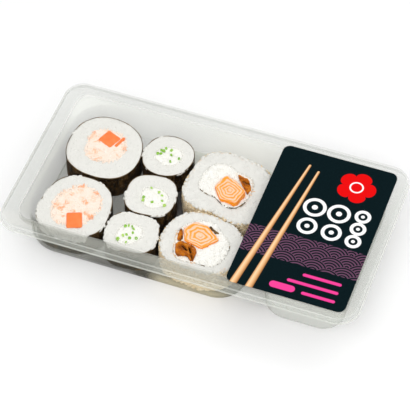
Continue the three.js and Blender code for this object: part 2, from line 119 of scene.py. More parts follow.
# shown: the stretches of the inner seaweed, in degrees, whose cut edge is not buried in rice.
# crab and strips: middle and corners as (reach, direction). crab_top: its rise and its lean.
# A strip also has its rise and its slits as (start, end, depth), sunk into its top and painted dark as
# shade.
CALIFORNIA = {
    "california_a": dict(
        outline=(8.4, 15.5, 25.3, [(2, 0.064, -28), (3, 0.044, -36), (4, 0.072, 41)]),
        wrap=(6.7, 16, 14.9, [(2, 0.141, -27), (3, 0.023, 58), (4, 0.088, 31)]),
        shown=[(206, 332)],
        crab=(10.4, 11.2, [(9.1, 7), (7.1, 80), (11.4, 120), (9.5, 174), (8.1, 244), (10.6, 307)]),
        crab_top=(2.7, 0.15, 0.06),
        strips=[
            ("gourd", 16.6, 19.9,
             [(3.8, 81), (5.4, 121), (8.2, 139), (5.4, 151), (3.2, 171), (2.2, 234), (4.2, 284), (7.4, 296),
              (5.3, 327), (3.2, 356)], 1.0, [((14.6, 21.6), (18.6, 20.6), 0.7)]),
        ],
    ),
    "california_b": dict(
        outline=(7.9, -27.6, 22.5, [(2, 0.077, -6), (3, 0.014, -18), (4, 0.03, 36)]),
        wrap=(7.7, -28.6, 15.8, [(2, 0.035, -37), (3, 0.055, -15), (4, 0.019, -38), (5, 0.042, 19)]),
        shown=[(-73, -62), (-54, -49), (-40, -24), (2, 22), (33, 40)],
        crab=(5.6, -24.2, [(10.9, 4), (8, 78), (10.2, 125), (10.4, 172), (9.2, 221), (9.1, 294)]),
        crab_top=(1.3, 0.0, 0.0),
        strips=[
            ("gourd", 1.8, -36.6,
             [(5.9, 9), (5.6, 34), (5.2, 60), (5.1, 77), (5.4, 98), (6.4, 120), (7.4, 133), (7.7, 146),
              (7.6, 157), (6.4, 178), (5.9, 206), (5.8, 228), (4.9, 247), (3.7, 266), (2.9, 286), (3.6, 302),
              (7, 309), (8.1, 319), (6, 342)], 1.5,
             [((-1.5, -33.9), (2.1, -36.1), 0.9), ((2.9, -34.4), (4.7, -37.2), 1.0),
              ((5.4, -38.6), (7.4, -41.4), 0.6), ((-2.6, -40.4), (0.6, -40.8), 0.5)]),
            ("gourd_strip", -4.8, -27,
             [(1.3, 45), (3.2, 90), (4.5, 103), (4.9, 108), (3.8, 118), (2.2, 142), (1.8, 180), (1.8, 213),
              (2.8, 245), (3.8, 262), (3.8, 292), (2.2, 320)], 1.0, [((-4.0, -27.6), (-3.0, -29.6), 0.6)]),
            ("seaweed_fold", 11.1, -18.1,
             [(3.7, 354), (1.5, 28), (1.6, 112), (3.9, 130), (4, 144), (2.2, 157), (0.5, 250), (3.3, 328)],
             0.5, []),
        ],
    ),
}

# ---- camera, floor and light ----

VIEW_AZIMUTH = 19.998
VIEW_ELEVATION = 50.330
VIEW_DISTANCE = 1188.11
VIEW_OFFSET = (-0.386, 10.096)
FOCAL_PIXELS = 2100
FRAME_PIXELS = 410
FLOOR_HALF = 3000


def aim(azimuth, elevation):
    """A direction away from the tray, in degrees. Azimuth 0 is the front."""
    turn, lift = radians(azimuth), radians(elevation)
    return Vector((sin(turn) * cos(lift), -cos(turn) * cos(lift), sin(lift)))


def put(name, data):
    made = bpy.data.objects.new(name, data)
    scene.collection.objects.link(made)
    return made


def add_camera():
    toward = aim(VIEW_AZIMUTH, VIEW_ELEVATION)
    right = aim(VIEW_AZIMUTH + 90, 0)
    up = toward.cross(right)
    place = VIEW_DISTANCE * toward + VIEW_OFFSET[0] * right + VIEW_OFFSET[1] * up
    data = bpy.data.cameras.new("camera")
    data.lens = FOCAL_PIXELS * data.sensor_width / FRAME_PIXELS
    data.clip_end = 20
    scene.camera = put("camera", data)
    turned = Matrix((right, up, toward)).transposed().to_4x4()
    scene.camera.matrix_world = Matrix.Translation(place * MM) @ turned


def add_softbox(name, azimuth, elevation, distance, size, power):
    data = bpy.data.lights.new(name, "AREA")
    data.shape = "RECTANGLE"
    data.size, data.size_y = size
    data.energy = power
    light = put(name, data)
    direction = aim(azimuth, elevation)
    light.location = direction * distance
    light.rotation_euler = direction.to_track_quat("Z", "Y").to_euler()


def add_studio():
    world = bpy.data.worlds.new("studio")
    world.use_nodes = True
    background = world.node_tree.nodes["Background"]
    background.inputs["Color"].default_value = (1, 1, 1, 1)
    background.inputs["Strength"].default_value = 0.7
    scene.world = world
    scene.view_settings.view_transform = "Standard"
    add_softbox("key", -35, 58, 1.1, (0.7, 0.5), 1.7)
    add_softbox("front", 20, 46, 1.2, (0.8, 0.6), 4.5)
    add_softbox("fill", 60, 38, 1.2, (0.8, 0.6), 0.6)
    add_softbox("back", 165, 42, 1.1, (0.9, 0.4), 2.2)
    corners = [(x * FLOOR_HALF, y * FLOOR_HALF, 0) for x, y in ((-1, -1), (1, -1), (1, 1), (-1, 1))]
    floor = new_object("floor", corners, [(0, 1, 2, 3)])
    floor.data.materials.append(studio_floor)


# ---- shape helpers ----


def new_object(name, vertices, faces):
    mesh = bpy.data.meshes.new(name)
    mesh.from_pydata((np.asarray(vertices, float) * MM).tolist(), [], faces)
    return put(name, mesh)


def add_piece(name, vertices, faces, material, replaces, slot, sharp=None, layer=None):
    """A finished piece. layer is a number at each vertex that its material reads."""
    piece = new_object(name, vertices, faces)
    mesh = piece.data
    mesh.materials.append(material)
    mesh.shade_smooth()
    if sharp:
        mesh.set_sharp_from_angle(angle=radians(sharp))
    if layer is not None:
        mesh.attributes.new("layer", "FLOAT", "POINT").data.foreach_set("value", np.asarray(layer, float))
    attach(piece, "root")
    if replaces:
        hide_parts(*replaces)


def loft(loops, wrapped=False):
    """Quads over loops of equally many points, with an outward turn from base to top."""
    loops = [np.asarray(loop, float) for loop in loops]
    count, levels = len(loops[0]), len(loops)
    sides = [(i, (i + 1) % count) for i in range(count)]
    faces = []
    for level in range(levels if wrapped else levels - 1):
        low, high = level * count, (level + 1) % levels * count
        faces += [(low + i, low + j, high + j, high + i) for i, j in sides]
    vertices = np.concatenate(loops)
    if not wrapped:
        middle, last = len(vertices), (levels - 1) * count
        vertices = np.vstack([vertices, loops[0].mean(0), loops[-1].mean(0)])
        for i, j in sides:
            faces += [(j, i, middle), (last + i, last + j, middle + 1)]
    return vertices, faces


def placed(vertices, position, size, turn):
    """A unit shape scaled to `size`, turned by Euler angles and moved to `position`."""
    return (vertices * size) @ np.array(Euler(tuple(turn)).to_matrix()).T + position


class Batch:
    """Many small shapes gathered into one mesh."""

    def __init__(self):
        self.vertices, self.faces, self.layers, self.count = [], [], [], 0

    def add(self, vertices, faces, layer=0.0):
        self.vertices.append(np.asarray(vertices, float))
        self.faces += [tuple(self.count + i for i in face) for face in faces]
        self.layers.append(np.broadcast_to(layer, len(vertices)))
        self.count += len(vertices)

    def place(self, shape, position, size, turn, layer):
        vertices, faces = shape
        self.add(placed(vertices, position, size, turn), faces, layer)

    def piece(self, name, material, replaces, slot):
        vertices, layers = np.concatenate(self.vertices), np.concatenate(self.layers)
        add_piece(name, vertices, self.faces, material, replaces, slot, layer=layers)


def ring_angles(steps):
    return np.arange(steps) * 2 * pi / steps


def points(x, y, z):
    return np.column_stack(np.broadcast_arrays(x, y, z))


class Outline:
    """A closed shape seen from above: how far it reaches from its middle in each direction."""

    def __init__(self, x, y, reach):
        self.x, self.y, self.reach = x, y, reach

    def loop(self, steps, height, grow=0.0, scale=1.0):
        angle = ring_angles(steps)
        reach = (self.reach(angle) + grow) * scale
        return points(self.x + reach * np.cos(angle), self.y + reach * np.sin(angle), height)

    def spot(self, angle, inset, height):
        """A point inside the edge."""
        reach = float(self.reach(np.array(angle))) - inset
        return self.x + reach * cos(angle), self.y + reach * sin(angle), height

    def depth(self, x, y):
        """How far points lie inside the edge, along a ray from the middle. Negative outside."""
        dx, dy = np.asarray(x) - self.x, np.asarray(y) - self.y
        return self.reach(np.arctan2(dy, dx)) - np.hypot(dx, dy)


def lobed(x, y, radius, lobes):
    """A circle with lobes, each (count, depth, direction in degrees)."""

    def reach(angle):
        return radius * (1 + sum(depth * np.cos(n * (angle - radians(turn))) for n, depth, turn in lobes))

    return Outline(x, y, reach)


def cornered(x, y, corners):
    """Straight sides between corners, each (reach, direction in degrees)."""
    reaches, turns = np.transpose(corners)
    turns = np.radians(turns)

    def reach(angle):
        along = (np.asarray(angle)[..., None] - turns) % (2 * pi)
        side = along.argmin(-1)
        step = np.take_along_axis(along, side[..., None], -1)[..., 0]
        other = (side + 1) % len(corners)
        sector = (turns[other] - turns[side]) % (2 * pi)
        spread = reaches[side] * np.sin(step) + reaches[other] * np.sin(sector - step)
        return reaches[side] * reaches[other] * np.sin(sector) / spread

    return Outline(x, y, reach)


def squared(x, y, length, width, turn, power=12):
    def reach(angle):
        across = np.abs(np.cos(angle - radians(turn))) / (length / 2)
        along = np.abs(np.sin(angle - radians(turn))) / (width / 2)
        return (across**power + along**power) ** (-1 / power)

    return Outline(x, y, reach)


def union(shapes, grow):
    """The outline round several shapes, seen from the middle of the first."""
    x0, y0 = shapes[0].x, shapes[0].y
    degrees = np.arange(360)
    angle = np.radians(degrees)[:, None]
    steps = np.arange(0, 30, 0.1)
    x, y = x0 + np.cos(angle) * steps, y0 + np.sin(angle) * steps
    inside = np.any([shape.depth(x, y) > -grow for shape in shapes], 0)
    furthest = steps[steps.size - 1 - inside[:, ::-1].argmax(1)]
    return Outline(x0, y0, lambda a: np.interp(np.degrees(a), degrees, furthest, period=360))


def field(points, scale, seed):
    """Fractal noise at each point, about -1 to 1."""
    shift = Vector((seed * 17.3, seed * 5.1, seed * 9.7))
    return np.array([noise.fractal(Vector(p) / scale + shift, 0.6, 2.0, 3) for p in points])


def ellipsoid(around=7, rings=4, bend=0.12):
    """A unit grain along X with blunt ends. Returns vertices and faces."""
    angle = ring_angles(around)
    loops = []
    for ring in range(1, rings + 1):
        u = pi * ring / (rings + 1)
        r = sin(u) ** 0.8
        loops.append(points(-cos(u), r * np.cos(angle), r * np.sin(angle)))
    vertices, faces = loft(loops)
    vertices[-2:] = (-1, 0, 0), (1, 0, 0)
    vertices[:, 2] += bend * (1 - vertices[:, 0] ** 2)
    return vertices, faces


GRAIN = ellipsoid()


def pebble(draw, jitter=0.25):
    """A rough unit lump with twenty faces."""
    g = (1 + 5**0.5) / 2
    v = [(-1, g, 0), (1, g, 0), (-1, -g, 0), (1, -g, 0), (0, -1, g), (0, 1, g), (0, -1, -g), (0, 1, -g),
         (g, 0, -1), (g, 0, 1), (-g, 0, -1), (-g, 0, 1)]
    f = [(0, 11, 5), (0, 5, 1), (0, 1, 7), (0, 7, 10), (0, 10, 11), (1, 5, 9), (5, 11, 4), (11, 10, 2),
         (10, 7, 6), (7, 1, 8), (3, 9, 4), (3, 4, 2), (3, 2, 6), (3, 6, 8), (3, 8, 9), (4, 9, 5),
         (2, 4, 11), (6, 2, 10), (8, 6, 7), (9, 8, 1)]
    return np.array(v, float) / hypot(1, g) * (1 + jitter * draw(-1, 1, (12, 1))), f


def scatter(draw, outline, inner, spacing, tries, margin=0.0, gap=0.0):
    """Points at least `spacing` apart inside `outline` and outside every shape of `inner`."""
    reach = outline.reach(np.linspace(0, 2 * pi, 90)).max()
    kept = np.empty((0, 2))
    for x, y in draw(-reach, reach, (tries, 2)) + (outline.x, outline.y):
        if outline.depth(x, y) < margin:
            continue
        if any(shape.depth(x, y) > -gap for shape in inner):
            continue
        if len(kept) and np.hypot(*(kept - (x, y)).T).min() < spacing:
            continue
        kept = np.vstack([kept, (x, y)])
    return kept


def filling_loops(outline, steps, shoulder, rings, height, relief, scale, seed, grow=0.0, edge_drop=0.6):
    """Loops up the side of a filling, and from the edge to the middle of its lumpy top."""
    loops = [outline.loop(steps, FOOT, grow), outline.loop(steps, shoulder, grow)]
    for ring in range(rings):
        loop = outline.loop(steps, height, grow, 1 - ring / rings)
        loop[:, 2] += relief * field(loop, scale, seed) - edge_drop * max(0.0, 1 - ring / 2) ** 2
        loops.append(loop)
    return loops


# ---- material helpers ----


def linear(colour):
    """A screen colour as linear light, ready for a socket."""
    return (*((c / 255 / 12.92) if c <= 10 else ((c / 255 + 0.055) / 1.055) ** 2.4 for c in colour), 1)


class Nodes:
    """A short way to write a material's node tree."""

    def __init__(self, name):
        self.material = bpy.data.materials.new(name)
        self.material.use_nodes = True
        self.tree = self.material.node_tree
        self.tree.nodes.clear()
        self.output = self.node("OutputMaterial")
        self.position = self.node("TexCoord").outputs["Object"]

    def node(self, kind, values=None, **settings):
        node = self.tree.nodes.new("ShaderNode" + kind)
        for key, value in settings.items():
            setattr(node, key, value)
        for key, value in (values or {}).items():
            socket = node.inputs[key]
            if isinstance(value, bpy.types.NodeSocket):
                self.tree.links.new(value, socket)
            else:
                socket.default_value = linear(value) if socket.type == "RGBA" else value
        return node

    def math(self, operation, a, b=0.0):
        return self.node("Math", {0: a, 1: b}, operation=operation).outputs[0]

    def plus(self, a, b):
        return self.math("ADD", a, b)

    def less(self, a, b):
        return self.math("SUBTRACT", a, b)

    def times(self, a, b):
        return self.math("MULTIPLY", a, b)

    def length(self, a, b):
        return self.math("SQRT", self.plus(self.times(a, a), self.times(b, b)))

    def wave(self, turns):
        return self.math("COSINE", self.times(turns, 2 * pi))

    def axes(self):
        """The object's own x, y and z."""
        return self.node("SeparateXYZ", {0: self.position}).outputs

    def noise(self, scale, detail=3.0, roughness=0.55, stretch=None):
        """Noise over the object's own coordinates. scale is bumps per metre."""
        position = self.position
        if stretch:
            position = self.node("Mapping", {"Vector": position, "Scale": stretch}).outputs[0]
        values = {"Vector": position, "Scale": scale, "Detail": detail, "Roughness": roughness}
        return self.node("TexNoise", values).outputs["Fac"]

    def ramp(self, factor, *stops):
        """stops are a place, its colour, and so on."""
        node = self.node("ValToRGB", {"Fac": factor})
        elements = node.color_ramp.elements
        while len(elements) < len(stops) / 2:
            elements.new(0.5)
        for element, place, colour in zip(elements, stops[::2], stops[1::2]):
            element.position = place
            element.color = linear(colour)
        return node.outputs["Color"]

    def range(self, factor, low, high, to_low=0.0, to_high=1.0):
        values = {"Value": factor, "From Min": low, "From Max": high, "To Min": to_low, "To Max": to_high}
        return self.node("MapRange", values).outputs[0]

    def mix(self, factor, a, b):
        return self.node("Mix", {0: factor, 6: a, 7: b}, data_type="RGBA").outputs[2]

    def bump(self, height, distance, strength, normal=None):
        values = {"Height": height, "Distance": distance * MM, "Strength": strength}
        if normal is not None:
            values["Normal"] = normal
        return self.node("Bump", values).outputs[0]

    def layer(self):
        return self.node("Attribute", attribute_name="layer").outputs["Fac"]

    def finish(self, colour, roughness, normal=None, clear=None, **values):
        """The surface. `clear` is the share of light that passes straight through."""
        settings = {"Base Color": colour, "Roughness": roughness}
        if normal is not None:
            settings["Normal"] = normal
        settings.update({key.replace("_", " "): value for key, value in values.items()})
        shader = self.node("BsdfPrincipled", settings).outputs[0]
        if clear is not None:
            open_air = self.node("BsdfTransparent").outputs[0]
            shader = self.node("MixShader", {0: clear, 1: shader, 2: open_air}).outputs[0]
        self.tree.links.new(shader, self.output.inputs["Surface"])


# ---- materials ----


def material(describe):
    """Makes the material that a function describes, under the function's name."""
    n = Nodes(describe.__name__)
    describe(n)
    return n.material


def plastic_material(name, dark, light, clear, painted_light_tints):
    """painted_light_tints: painted shade and light on the plastic: where along x and y each fades in, its
    colour, and the share of `clear` that stays.
    """
    n = Nodes(name)
    haze = n.noise(30, 2)
    colour = n.ramp(haze, 0.3, dark, 0.7, light)
    x, y, _ = n.axes()
    for along, across, tint, *kept in painted_light_tints:
        reach = n.range(x, *along) if along else 1.0
        if across:
            reach = n.times(n.range(y, *across), reach)
        colour = n.mix(reach, colour, tint)
        if kept:
            clear = n.times(clear, n.range(reach, 0, 1, 1, kept[0]))
    normal = n.bump(n.noise(40, 1), 0.06, 0.4)
    roughness = n.range(haze, 0.3, 0.7, 0.24, 0.34)
    n.finish(colour, roughness, normal, clear, IOR=1.8, Specular_IOR_Level=0.5)
    return n.material


@material
def clear_film(n):
    waves = n.noise(22, 2)
    tint = n.ramp(waves, 0.3, (120, 122, 120), 0.7, (140, 142, 140))
    n.finish(tint, 0.12, n.bump(waves, 0.3, 0.4), 0.994, IOR=1.9)


@material
def studio_floor(n):
    colour = n.ramp(n.noise(3, 2), 0.2, (245.8, 245.8, 245.8), 0.8, (248.2, 248.2, 248.2))
    n.finish(colour, 0.6)


@material
def roasted_seaweed(n):
    fibres = n.noise(300, 5, 0.65, (1, 1, 2.4))
    wrinkles = n.noise(420, 3, 0.6, (1, 1, 0.22))
    blotches = n.noise(110, 3)
    # Golden-brown fibre streaks and lighter brown wrinkle streaks: partly the seaweed's own colour, partly
    # painted sheen.
    dark = n.ramp(fibres, 0.4, (12, 6, 1), 0.56, (36, 22, 6), 0.72, (104, 74, 34))
    folds_and_sheen = n.ramp(wrinkles, 0.42, (26, 16, 5), 0.66, (120, 90, 50))
    colour = n.mix(n.range(blotches, 0.46, 0.66, 0.1, 0.75), dark, folds_and_sheen)
    # Painted highlight: the top 0.6 mm of the band turns light brown along its cut edge.
    cut_edge_highlight = n.times(n.range(n.axes()[2], 0.0172, 0.0178), n.range(n.noise(240, 2), 0.4, 0.62, 0.3, 0.95))
    colour = n.mix(cut_edge_highlight, colour, (134, 108, 70))
    normal = n.bump(wrinkles, 0.25, 0.8, n.bump(fibres, 0.2, 0.8))
    n.finish(colour, n.range(blotches, 0.3, 0.7, 0.45, 0.6), normal, Specular_IOR_Level=0.03)


def stain(n):
    """How far the brown juice of the filling has soaked in: the part of the layer above 1."""
    return n.range(n.plus(n.layer(), n.range(n.noise(700, 2), 0.3, 0.7, -0.2, 0.2)), 1.1, 2.0)


@material
def rice(n):
    pale = n.ramp(n.noise(260, 1), 0.3, (225, 224, 218), 0.7, (232, 231, 225))
    shaded = n.mix(n.range(n.layer(), 0, 0.6), pale, (226, 225, 219))
    colour = n.mix(stain(n), shaded, (248, 232, 206))
    n.finish(colour, 0.45, n.bump(n.noise(1100, 1), 0.04, 0.3))


@material
def coated_rice(n):
    tone = n.noise(260, 1)
    pale = n.ramp(tone, 0.3, (221, 220, 214), 0.7, (229, 228, 222))
    tan = n.ramp(tone, 0.3, (230, 208, 166), 0.7, (246, 232, 202))
    colour = n.mix(n.range(n.axes()[2], 0.0175, 0.0161, 0, 0.9), pale, tan)
    colour = n.mix(stain(n), colour, (226, 166, 88))
    n.finish(colour, 0.45, n.bump(n.noise(1100, 1), 0.04, 0.3))


@material
def toasted_crumbs(n):
    colour = n.ramp(n.layer(), 0.0, (224, 188, 134), 0.4, (242, 220, 178), 1.0, (251, 240, 214))
    mottled = n.mix(n.range(n.noise(900, 2), 0.4, 0.7, 0, 0.25), colour, (206, 160, 100))
    n.finish(mottled, 0.6, n.bump(n.noise(2200, 2), 0.08, 0.6))


@material
def crab_salad(n):
    streaks = n.noise(700, 4, 0.6)
    creamy = n.ramp(streaks, 0.35, (250, 238, 226), 0.62, (250, 228, 210))
    warm = n.ramp(streaks, 0.3, (252, 216, 188), 0.7, (255, 186, 142))
    colour = n.mix(n.range(n.noise(130, 2), 0.54, 0.66, 0, 0.85), creamy, warm)
    n.finish(colour, 0.4, n.bump(streaks, 0.25, 0.7))


@material
def crab_shreds(n):
    colour = n.ramp(n.layer(), 0.0, (250, 238, 226), 0.45, (252, 230, 212), 0.75, (254, 206, 172),
                    1.0, (254, 168, 116))
    pale = n.mix(n.range(n.noise(1200, 3), 0.4, 0.7, 0, 0.3), colour, (252, 232, 214))
    n.finish(pale, 0.4, n.bump(n.noise(1600, 3), 0.08, 0.5))


# How far red, green and blue light wander in the carrot and the crab, in metres.
FLESH = (0.002, 0.001, 0.0006)


@material
def carrot(n):
    colour = n.ramp(n.noise(340, 3), 0.3, (250, 120, 50), 0.7, (254, 138, 68))
    normal = n.bump(n.noise(1100, 3), 0.07, 0.6)
    n.finish(colour, 0.36, normal, Subsurface_Weight=0.15, Subsurface_Radius=FLESH)


@material
def cream_cheese(n):
    curds = n.noise(620, 4, 0.6)
    colour = n.ramp(curds, 0.3, (240, 238, 231), 0.65, (250, 249, 244))
    colour = n.mix(stain(n), colour, (232, 190, 130))
    n.finish(colour, 0.5, n.bump(curds, 0.2, 0.7))


@material
def chives(n):
    colour = n.ramp(n.layer(), 0.0, (132, 188, 48), 0.5, (158, 210, 76), 1.0, (190, 226, 114))
    fibres = n.noise(1600, 2)
    colour = n.mix(n.range(fibres, 0.4, 0.7, 0, 0.2), colour, (112, 168, 44))
    n.finish(colour, 0.4, n.bump(fibres, 0.05, 0.5))


@material
def crab_stick(n):
    """The layer runs from 0 in the middle of the cut end to 1 at its edge and down the sides."""
    wander = n.range(n.noise(150, 3), 0.3, 0.7, -0.4, 0.4)
    lines = n.wave(n.plus(n.times(n.layer(), CRAB_TURNS), wander))
    shaded = n.times(n.range(lines, 0.4, -0.5), n.range(n.layer(), 0.1, 0.17))
    top = n.mix(shaded, (253, 206, 172), (255, 160, 38))
    fibres = n.ramp(n.noise(900, 3, 0.6, (1, 1, 0.25)), 0.35, (248, 134, 0), 0.7, (255, 160, 10))
    colour = n.mix(n.range(n.layer(), 0.955, 1.0), top, fibres)
    normal = n.bump(n.noise(900, 3), 0.06, 0.5)
    n.finish(colour, 0.34, normal, Subsurface_Weight=0.12, Subsurface_Radius=FLESH)


@material
def simmered_gourd(n):
    colour = n.ramp(n.noise(320, 3), 0.34, (132, 66, 2), 0.5, (184, 100, 4), 0.68, (214, 136, 34))
    # Painted shade: near black in the slits between the folded layers.
    colour = n.mix(n.range(n.layer(), 0.1, 0.85), colour, (48, 18, 2))
    n.finish(colour, 0.3, n.bump(n.noise(600, 3), 0.15, 0.5), Specular_IOR_Level=0.12)


class Print:
    """Shapes printed on a level face, in millimetres from the face's middle."""

    EDGE = 0.12

    def __init__(self, n, centre):
        self.n = n
        x, y, _ = n.axes()
        self.u = n.less(n.math("DIVIDE", x, MM), centre[0])
        self.v = n.less(n.math("DIVIDE", y, MM), centre[1])

    def ink(self, distance):
        """1 where the distance from a shape's edge is negative, which is inside."""
        return self.n.range(distance, self.EDGE, -self.EDGE)

    def away(self, x, y):
        """Distance from a point, and the offsets along u and v."""
        du, dv = self.n.less(self.u, x), self.n.less(self.v, y)
        return self.n.length(du, dv), du, dv

    def disc(self, x, y, radius):
        return self.ink(self.n.less(self.away(x, y)[0], radius))

    def ring(self, x, y, radius, line):
        off = self.n.math("ABSOLUTE", self.n.less(self.away(x, y)[0], radius))
        return self.ink(self.n.less(off, line / 2))

    def blossom(self, x, y, radius, petals):
        n = self.n
        away, du, dv = self.away(x, y)
        swing = n.math("ABSOLUTE", n.math("COSINE", n.times(n.math("ARCTAN2", dv, du), petals / 2)))
        reach = n.times(n.math("POWER", swing, 0.45), 0.34 * radius)
        return self.ink(n.less(n.less(away, 0.66 * radius), reach))

    def bar(self, start, end, start_half, end_half):
        """A bar with round ends that may taper. Returns its ink and the place across it, -1 to 1."""
        n = self.n
        _, du, dv = self.away(*start)
        length = hypot(end[0] - start[0], end[1] - start[1])
        ux, uy = (end[0] - start[0]) / length, (end[1] - start[1]) / length
        along = n.plus(n.times(du, ux), n.times(dv, uy))
        aside = n.less(n.times(dv, ux), n.times(du, uy))
        past = n.math("MAXIMUM", n.math("MAXIMUM", n.less(along, length), n.times(along, -1)), 0)
        half = n.range(along, 0, length, start_half, end_half)
        return self.ink(n.less(n.length(past, aside), half)), n.math("DIVIDE", aside, half)

    def waves(self, radius, lines):
        """Overlapping wave scales. Returns the ink of their lines."""
        n = self.n
        pitch = radius / 2
        row = n.math("CEIL", n.math("DIVIDE", n.less(self.v, radius), pitch))
        nearest = None
        for step in (2, 1, 0):
            line = n.plus(row, step)
            dv = n.less(self.v, n.times(line, pitch))
            du = n.math("PINGPONG", n.plus(self.u, n.times(n.math("PINGPONG", line, 1), radius)), radius)
            away = n.math("DIVIDE", n.length(du, dv), radius)
            if nearest is None:
                nearest = away
            else:
                inside = n.math("LESS_THAN", away, 1)
                nearest = n.plus(n.times(nearest, n.less(1, inside)), n.times(away, inside))
        return n.range(n.wave(n.times(nearest, lines)), -0.35, 0.35)


@material
def label_print(n):
    """A dark label: blossom, ring marks for the rolls, chopsticks, a wave band and pink rules."""
    art = Print(n, LABEL_CENTRE)
    colour = n.ramp(n.noise(900, 2), 0.3, (6, 22, 26), 0.7, (9, 27, 31))
    in_band = n.times(n.math("GREATER_THAN", art.v, -28.5), n.math("LESS_THAN", art.v, -9.5))
    colour = n.mix(n.times(art.waves(8.6, 5), in_band), colour, (104, 70, 94))
    pink, white, red = (237, 66, 148), (250, 250, 250), (228, 12, 14)
    for start, end, half in (((6, -34), (26, -34), 1.0), ((-1, -40), (26, -40), 1.0),
                             ((9, -46), (26, -46), 1.0), ((-8, -45.4), (2, -45.4), 2.2)):
        colour = n.mix(art.bar(start, end, half, half)[0], colour, pink)
    for x, y, radius in ((-3.5, 13, 5.6), (10.5, 13, 5.6), (-3.5, -1, 4.8), (10.5, -1, 4.8),
                         (23.6, 15.4, 3.6), (23.6, 6.2, 3.6), (23.6, -3, 3.6)):
        colour = n.mix(art.ring(x, y, radius, 2.0), colour, white)
        colour = n.mix(art.disc(x, y, 0.3 * radius), colour, white)
    colour = n.mix(art.blossom(14, 34.5, 11.2, 5), colour, red)
    colour = n.mix(art.ring(14, 34.5, 3.6, 0.9), colour, white)
    for start, end in (((-29, -53), (-15.5, 41)), ((-20, -53), (-9.5, 38))):
        ink, across = art.bar(start, end, 2.1, 0.75)
        wood = n.ramp(n.range(across, -1, 1), 0.0, (160, 104, 56), 0.35, (230, 176, 122),
                      0.7, (250, 212, 166), 1.0, (206, 146, 92))
        colour = n.mix(ink, colour, wood)
    n.finish(colour, 0.6, Specular_IOR_Level=0.02)


# ---- tray, film and label ----

CORNER_STEPS = 14


def rounded_loop(x0, x1, half, corner, z, more=(0, 0, 0, 0)):
    """Reaches `half` to the front and back. `more` adds to each radius, from the back right on."""
    angle = np.radians(90 * np.arange(CORNER_STEPS + 1) / CORNER_STEPS)
    parts = []
    for quarter, extra in enumerate(more):
        r = corner + extra
        x = x1 - r if quarter in (0, 3) else x0 + r
        y = half - r if quarter < 2 else r - half
        a = angle + quarter * pi / 2
        parts.append(points(x + r * np.cos(a), y + r * np.sin(a), z))
    return np.concatenate(parts)


def compartment_loops(room, skin, top, lip=0.0):
    """One face of a compartment's wall, from the floor to the mouth."""
    fillet = FLOOR_FILLET + skin
    ledge = TRAY_HEIGHT - LEDGE_DEPTH - skin
    half = TRAY_HALF[1] - FLANGE_SIDE + skin
    x0, x1 = room["x0"] - skin, room["x1"] + skin
    more = (-room["sharper"], 0, 0, -room["sharper"])

    def body(inset, side, z):
        left, right = x0 + room["left"] + side, x1 - room["right"] - side
        corner = room["corner"] + skin - inset
        return rounded_loop(left, right, half - SIDE_STEP - side, corner, z, more)

    def mouth(out, z):
        return rounded_loop(x0 - out, x1 + out, half + out, MOUTH_CORNER + skin + out, z)

    loops = []
    for step in range(7):
        a = radians(15 * step)
        inset = fillet * (1 - sin(a))
        loops.append(body(inset, DRAFT + inset, WALL - skin + fillet * (1 - cos(a))))
    narrow, wide = body(0, 0, ledge), mouth(0, ledge)
    for t, rise in ((0, -0.9), (0.02, -0.35), (0.1, -0.06), (0.22, 0), (0.78, 0.05), (0.9, 0.16),
                    (0.98, 0.5), (1, 1.0)):
        loop = narrow * (1 - t) + wide * t
        loop[:, 2] = ledge + rise
        loops.append(loop)
    if lip:
        for step in range(5):
            a = radians(22.5 * step)
            loops.append(mouth(lip * (1 - cos(a)), TRAY_HEIGHT - lip * (1 - sin(a))))
    loops.append(mouth(lip, top))
    return loops


def combine(base, loops, operation):
    """Joins a lofted shape to an object, or cuts it out."""
    other = new_object("tool", *loft(loops))
    modifier = base.modifiers.new("combine", "BOOLEAN")
    modifier.operation = operation
    modifier.solver = "MANIFOLD"
    modifier.object = other
    depsgraph = bpy.context.evaluated_depsgraph_get()
    mesh = bpy.data.meshes.new_from_object(base.evaluated_get(depsgraph))
    base.modifiers.remove(modifier)
    base.data = mesh
    bpy.data.objects.remove(other)


def flange_loops():
    """The outer skin with its beaded foot, and the hollow under the flange."""
    hx, hy = TRAY_HALF
    top, corner = TRAY_HEIGHT, FLANGE_CORNER
    foot = top - RIM_DROP

    def ring(inset, corner, z):
        more = (0, 0, FRONT_ROUNDER, FRONT_ROUNDER)
        return rounded_loop(-hx + inset, hx - inset, hy - inset, corner, z, more)

    bead = ((0, 0), (-0.4, 0.1), (-0.5, 0.4), (-0.35, 0.7), (0.1, 0.85))
    outer = [ring(inset, corner, foot + rise) for inset, rise in bead]
    for step in range(6):
        a = radians(18 * step)
        inset = RIM_FLARE + RIM_ROUND * (1 - cos(a))
        outer.append(ring(inset, corner - 0.1 * RIM_ROUND * step, top - RIM_ROUND * (1 - sin(a))))
    inner, flared = corner - WALL, WALL + RIM_FLARE
    hollow = [
        ring(WALL - RIM_FLARE, inner, foot - 2),
        ring(WALL, inner, foot),
        ring(flared, inner, top - RIM_ROUND - 0.5 * WALL),
        ring(flared + 0.35 * RIM_ROUND, inner - 0.3, top - WALL - 0.4),
        ring(flared + RIM_ROUND, inner - RIM_ROUND, top - WALL),
    ]
    return outer, hollow


def past_edge(x, y, x0, x1, half, corner):
    """How far a point lies outside a rectangle with round corners. Negative inside."""
    aside = abs(x - (x0 + x1) / 2) - (x1 - x0) / 2 + corner
    ahead = abs(y) - half + corner
    return hypot(max(aside, 0), max(ahead, 0)) + min(max(aside, ahead), 0) - corner


